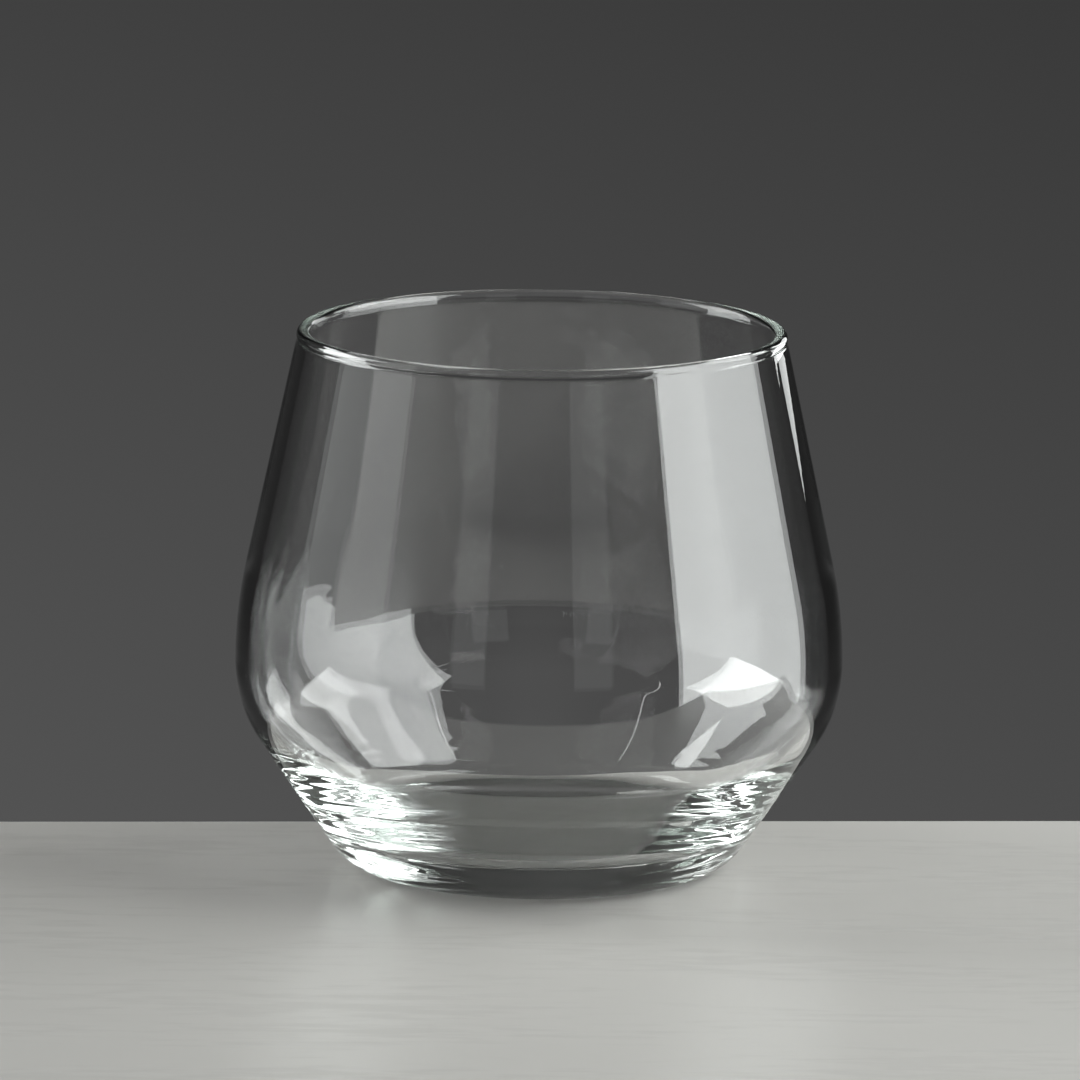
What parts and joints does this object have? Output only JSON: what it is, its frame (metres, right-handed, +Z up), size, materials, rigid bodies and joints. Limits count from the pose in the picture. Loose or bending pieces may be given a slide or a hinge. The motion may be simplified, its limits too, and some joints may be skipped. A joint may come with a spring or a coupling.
{
  "type": "whisky tumbler",
  "caption": "Low stemless whisky tumbler of clear glass with a beaded rim, a wall widening to a round shoulder, a conical lower body and a thick solid base.",
  "frame": {"origin": "centre of the foot, on the surface that the glass stands on", "axes": "+Z up along the axis of revolution, towards the rim; X and Y are alike, and the picture looks along +Y"},
  "size_m": [0.094, 0.094, 0.084],
  "materials": {
    "clear_glass": "polished"
  },
  "bodies": {
    "root": {"tumbler": "clear_glass"}
  },
  "joints": []
}
